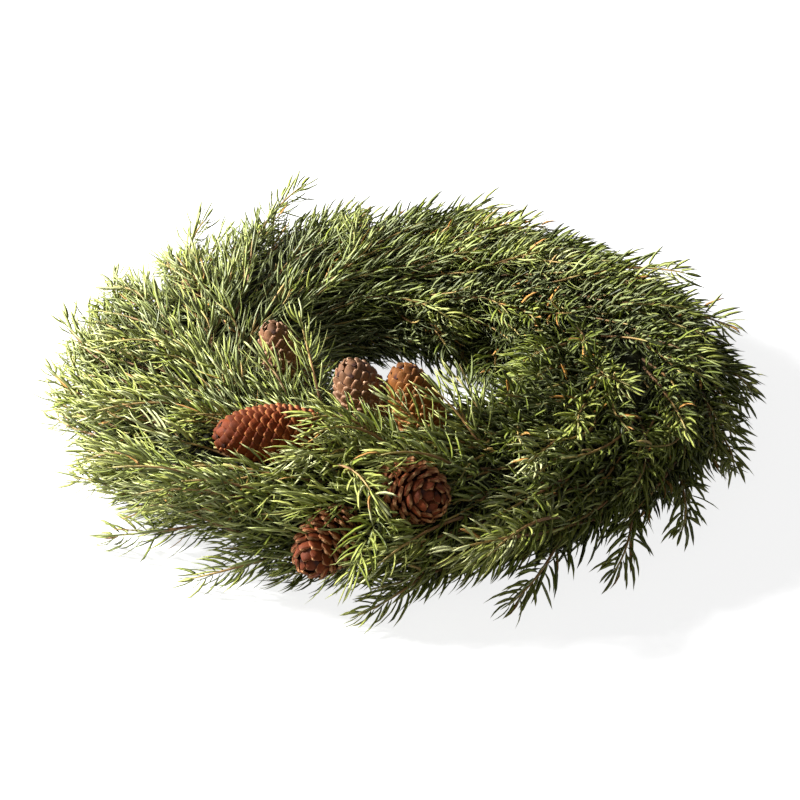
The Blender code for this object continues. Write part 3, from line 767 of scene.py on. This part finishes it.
def bundle_shade_material():
    """Near-black bark in the depths of the greens: painted shade, far darker than the stems' own bark."""
    nodes = Nodes("stem_bundle")
    place = nodes.add("ShaderNodeTexCoord").outputs["Object"]
    grain = nodes.noise(place, 160.0, 4.0)
    # Near-black browns: painted shade inside the ring.
    tones = [(0.3, linear(16, 17, 8)), (0.55, linear(28, 29, 13)), (0.75, linear(42, 40, 20))]
    colour = nodes.ramp(grain, tones)
    nodes.feed(nodes.shader.inputs["Base Color"], colour)
    nodes.shader.inputs["Roughness"].default_value = 0.8
    nodes.shader.inputs["Specular IOR Level"].default_value = 0.1
    nodes.bump(grain, 0.7, 0.002)
    return nodes.material


# ---------------------------------------------------------------- pine cones

# Each finish gives the face colour, painted shade for the scales' depths, the pale rim that is partly painted
# light, and a painted highlight for the scale tips.
CONE_TONES = {
    "dry": (linear(128, 90, 64), linear(52, 24, 14), linear(182, 146, 116), linear(206, 178, 150)),
    "red": (linear(108, 48, 20), linear(46, 14, 4), linear(160, 100, 54), linear(188, 136, 86)),
    "tawny": (linear(120, 72, 30), linear(52, 16, 6), linear(176, 128, 78), linear(200, 158, 110)),
    "dark": (linear(108, 50, 24), linear(42, 14, 6), linear(188, 134, 90), linear(222, 184, 144)),
}
CONE_FINISHES = {
    "small_inner": "dry",
    "inner_left": "dry",
    "inner_right": "tawny",
    "top_left": "red",
    "front": "dark",
    "low_front": "dark",
}

SCALE_COLUMNS = 5
SCALE_ROWS = (0.0, 0.30, 0.60, 0.82, 0.94, 1.0)
SCALE_WIDTHS = (0.40, 0.66, 0.96, 0.96, 0.74, 0.36)
SCALE_RISE = (0.0, 0.10, 0.34, 0.56, 0.44, 0.12)


def cone_profile(share):
    """The cone's radius as a share of its greatest, from its base at 0 to its apex at 1."""
    if share < 0.36:
        return 0.58 + 0.42 * (share / 0.36) ** 0.7
    return math.sqrt(max(1.0 - ((share - 0.36) / 0.64) ** 2.3, 0.0))


def scale_grid(width, length, thickness):
    """Outer and inner skins of one scale: a rounded paddle, domed outside, x across and y along."""
    outer = []
    inner = []
    for row, (share, wide, rise) in enumerate(zip(SCALE_ROWS, SCALE_WIDTHS, SCALE_RISE)):
        for column in range(SCALE_COLUMNS):
            across = 2 * column / (SCALE_COLUMNS - 1) - 1
            droop = 0.16 * across * across * (share > 0.7)
            x = across * wide * width / 2
            y = (share - droop * share) * length
            z = thickness * (0.35 + rise * 1.5) * (1 - 0.55 * across * across)
            outer.append((x, y, z))
            inner.append((x * 0.97, y * 0.985, z - thickness * (0.5 + 0.35 * rise) - 0.0002))
    return np.array(outer), np.array(inner)


def scale_faces():
    """Triangles of one closed scale and the corner places of each on an atlas cell."""
    rows = len(SCALE_ROWS)
    columns = SCALE_COLUMNS
    total = rows * columns
    faces = []

    def quad(a, b, c, d):
        faces.extend([(a, b, c), (a, c, d)])

    for i in range(rows - 1):
        for k in range(columns - 1):
            a = i * columns + k
            quad(a, a + 1, a + columns + 1, a + columns)
            quad(total + a, total + a + columns, total + a + columns + 1, total + a + 1)
    ring = list(range(columns))
    ring += [i * columns + columns - 1 for i in range(1, rows)]
    ring += [(rows - 1) * columns + k for k in range(columns - 2, -1, -1)]
    ring += [i * columns for i in range(rows - 2, 0, -1)]
    for a, b in zip(ring, ring[1:] + ring[:1]):
        quad(b, a, total + a, total + b)
    places = []
    for _ in range(2):
        for share in SCALE_ROWS:
            for column in range(columns):
                places.append((0.04 + 0.92 * column / (columns - 1), 0.03 + 0.94 * share))
    return np.array(faces), np.array(places)


def build_cone(cone, material, number):
    """Scales in a golden-angle spiral round a solid heart, closed or open at their rims."""
    chance = np.random.default_rng(40 + number)
    faces, places = scale_faces()
    share_of_full = (cone.length / CONE_LENGTH) * (cone.radius / CONE_RADIUS)
    scales = int(CONE_SCALES * share_of_full * (1 - 0.30 * cone.openness))
    side = unit(np.cross(cone.axis, np.array([0.0, 0.3, 1.0])))
    front = np.cross(side, cone.axis)
    samples = np.linspace(0.0, 1.0, 400)
    girths = np.array([cone_profile(share) for share in samples])
    rise = np.hypot(np.gradient(samples) * cone.length, np.gradient(girths) * cone.radius)
    area = np.cumsum(np.maximum(girths, 0.12) * rise)
    area /= area[-1]
    points = []
    triangles = []
    uvs = []
    offset = 0
    for index in range(scales):
        share = float(np.interp((index + 0.5) / scales, area, samples))
        angle = index * GOLDEN_ANGLE
        outward = side * math.cos(angle) + front * math.sin(angle)
        radius = cone.radius * cone_profile(share)
        slope = (cone_profile(min(share + 0.02, 1.0)) - cone_profile(share - 0.02 if share > 0.02 else 0.0))
        along = unit(cone.axis * cone.length * 0.04 + outward * slope * cone.radius)
        normal = unit(outward - along * (outward @ along))
        closing = min(max((share - 0.72) / 0.26, 0.0), 1.0)
        tilt = math.radians((24 + 26 * cone.openness) * (1 - closing) + 5 * closing + chance.normal(0, 2.0))
        direction = along * math.cos(tilt) + normal * math.sin(tilt)
        facing = normal * math.cos(tilt) - along * math.sin(tilt)
        across = np.cross(direction, facing)
        size = 0.40 + 0.60 * min(radius / (cone.radius * 0.85), 1.0)
        width = SCALE_WIDTH * size * (1 + 0.10 * cone.openness)
        length = SCALE_LENGTH * (0.25 + 0.75 * size)
        thickness = SCALE_THICKNESS * size
        rim = cone.base + cone.axis * cone.length * share + outward * radius * (0.93 + 0.03 * cone.openness)
        start = rim - direction * length * (0.80 - 0.25 * cone.openness)
        outer, inner = scale_grid(width, length, thickness)
        skin = np.concatenate([outer, inner])
        wrap = skin[:, 0] ** 2 / (2 * max(radius, 0.006)) * (1.0 - 0.6 * cone.openness)
        placed = (
            start
            + across * skin[:, :1]
            + direction * skin[:, 1:2]
            + facing * (skin[:, 2:3] - wrap[:, None])
        )
        points.append(placed)
        triangles.append(faces + offset)
        offset += len(placed)
        cell = np.array([index % ATLAS, index // ATLAS % ATLAS])
        uvs.append(((places[faces.ravel()] + cell) / ATLAS))
    heart_points, heart_faces = cone_heart(cone, side, front)
    points.append(heart_points)
    triangles.append(heart_faces + offset)
    uvs.append(np.tile(np.array([[0.060, 0.070], [0.066, 0.070], [0.066, 0.076]]), (len(heart_faces), 1)))
    piece = mesh_piece(
        "cone_" + cone.name,
        press_to_floor(np.concatenate(points)),
        np.concatenate(triangles),
        np.concatenate(uvs),
        material,
        "cones",
        ["pine_cone_" + cone.name],
        True,
    )
    piece.data.set_sharp_from_angle(angle=math.radians(42))


def cone_heart(cone, side, front):
    """The woody heart that the scales grow from."""
    rings = 12
    sides = 16
    points = [cone.base]
    for i in range(1, rings):
        share = i / rings
        radius = cone.radius * 0.64 * cone_profile(share)
        for k in range(sides):
            turn = 2 * math.pi * k / sides
            outward = side * math.cos(turn) + front * math.sin(turn)
            points.append(cone.base + cone.axis * cone.length * 0.93 * share + outward * radius)
    points.append(cone.base + cone.axis * cone.length * 0.95)
    faces = []
    for k in range(sides):
        turn = (k + 1) % sides
        faces.append((0, 1 + turn, 1 + k))
        last = 1 + (rings - 2) * sides
        faces.append((last + k, last + turn, len(points) - 1))
    for i in range(rings - 2):
        for k in range(sides):
            turn = (k + 1) % sides
            a, b = 1 + i * sides + k, 1 + i * sides + turn
            faces += [(a, b, b + sides), (a, b + sides, a + sides)]
    return np.array(points), np.array(faces)


# ---------------------------------------------------------------- wires, floor, lights, camera


def dress_wires():
    """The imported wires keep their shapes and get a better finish."""
    finishes = {
        "frame_": wire_material("frame_enamel", linear(34, 62, 42), 0.42, 0.35),
        "binding_": wire_material("binding_enamel", linear(38, 70, 44), 0.45, 0.35),
        "cone_pick_": wire_material("pick_steel", linear(150, 146, 138), 0.38, 0.9),
    }
    for name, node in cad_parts.items():
        for prefix, material in finishes.items():
            if name.startswith(prefix):
                node.data.materials.clear()
                node.data.materials.append(material)


def build_floor():
    """A plain pale floor that looks almost white to the camera and keeps the object's shadow."""
    nodes = Nodes("floor")
    nodes.shader.inputs["Base Color"].default_value = (0.45, 0.45, 0.45, 1.0)
    nodes.shader.inputs["Roughness"].default_value = 0.9
    nodes.shader.inputs["Emission Color"].default_value = (1.0, 1.0, 1.0, 1.0)
    rays = nodes.add("ShaderNodeLightPath")
    seen = nodes.math("MAXIMUM", rays.outputs["Is Camera Ray"], rays.outputs["Is Glossy Ray"])
    seen = nodes.math("MAXIMUM", seen, rays.outputs["Is Transmission Ray"])
    nodes.feed(nodes.shader.inputs["Emission Strength"], nodes.math("MULTIPLY", seen, FLOOR_LIFT))
    mesh = bpy.data.meshes.new("floor")
    size = 6.0
    corners = [(-size, -size, 0), (size, -size, 0), (size, size, 0), (-size, size, 0)]
    mesh.from_pydata(corners, [], [(0, 1, 2, 3)])
    mesh.materials.append(nodes.material)
    floor = bpy.data.objects.new("floor", mesh)
    bpy.context.scene.collection.objects.link(floor)


def area_light(name, place, target, size, power):
    """A round soft lamp that faces its target."""
    light = bpy.data.lights.new(name, "AREA")
    light.shape = "DISK"
    light.size = size
    light.energy = power
    lamp = bpy.data.objects.new(name, light)
    lamp.location = place
    lamp.rotation_euler = (Vector(target) - Vector(place)).to_track_quat("-Z", "Y").to_euler()
    bpy.context.scene.collection.objects.link(lamp)


def light_scene():
    """A key lamp from the left, a weak fill from the front, and a world that is seen as white."""
    middle = (0.0, 0.0, RING_MIDDLE)
    area_light("key", (-1.60, 0.25, 1.05), middle, 0.30, 134.0)
    area_light("fill", (-0.3, -1.8, 1.2), middle, 1.6, 3.0)
    world = bpy.data.worlds.new("studio")
    world.use_nodes = True
    tree = world.node_tree
    tree.nodes.clear()
    output = tree.nodes.new("ShaderNodeOutputWorld")
    seen = tree.nodes.new("ShaderNodeBackground")
    seen.inputs[0].default_value = (1.0, 1.0, 1.0, 1.0)
    seen.inputs[1].default_value = 1.0
    soft = tree.nodes.new("ShaderNodeBackground")
    soft.inputs[0].default_value = (0.96, 0.98, 1.0, 1.0)
    soft.inputs[1].default_value = 0.07
    rays = tree.nodes.new("ShaderNodeLightPath")
    mix = tree.nodes.new("ShaderNodeMixShader")
    bright = tree.nodes.new("ShaderNodeMath")
    bright.operation = "MAXIMUM"
    brighter = tree.nodes.new("ShaderNodeMath")
    brighter.operation = "MAXIMUM"
    tree.links.new(rays.outputs["Is Camera Ray"], bright.inputs[0])
    tree.links.new(rays.outputs["Is Glossy Ray"], bright.inputs[1])
    tree.links.new(bright.outputs[0], brighter.inputs[0])
    tree.links.new(rays.outputs["Is Transmission Ray"], brighter.inputs[1])
    tree.links.new(brighter.outputs[0], mix.inputs[0])
    tree.links.new(soft.outputs[0], mix.inputs[1])
    tree.links.new(seen.outputs[0], mix.inputs[2])
    tree.links.new(mix.outputs[0], output.inputs[0])
    bpy.context.scene.world = world


def set_camera():
    """The view of the photograph: straight on, 29 degrees above the table, through a long lens."""
    elevation = math.radians(29.3)
    distance = 1.65
    camera = bpy.data.cameras.new("camera")
    camera.lens = 94.1
    camera.sensor_width = 36.0
    camera.shift_x = -0.0025
    camera.shift_y = -0.0281
    eye = bpy.data.objects.new("camera", camera)
    middle = Vector((0.0, 0.0, RING_MIDDLE))
    eye.location = middle + distance * Vector((0.0, -math.cos(elevation), math.sin(elevation)))
    eye.rotation_euler = (middle - eye.location).to_track_quat("-Z", "Y").to_euler()
    bpy.context.scene.collection.objects.link(eye)
    bpy.context.scene.camera = eye
    bpy.context.scene.view_settings.view_transform = "Standard"


set_camera()
light_scene()
build_floor()
leaf = leaf_material()
stem = stem_material()
grow_bunches(leaf, stem)
grow_sprays(leaf, stem)
build_stem_bundle(bundle_shade_material())
cone_materials = {name: cone_material("cone_" + name, *tones) for name, tones in CONE_TONES.items()}
for number, cone in enumerate(CONES):
    build_cone(cone, cone_materials[CONE_FINISHES[cone.name]], number)
dress_wires()
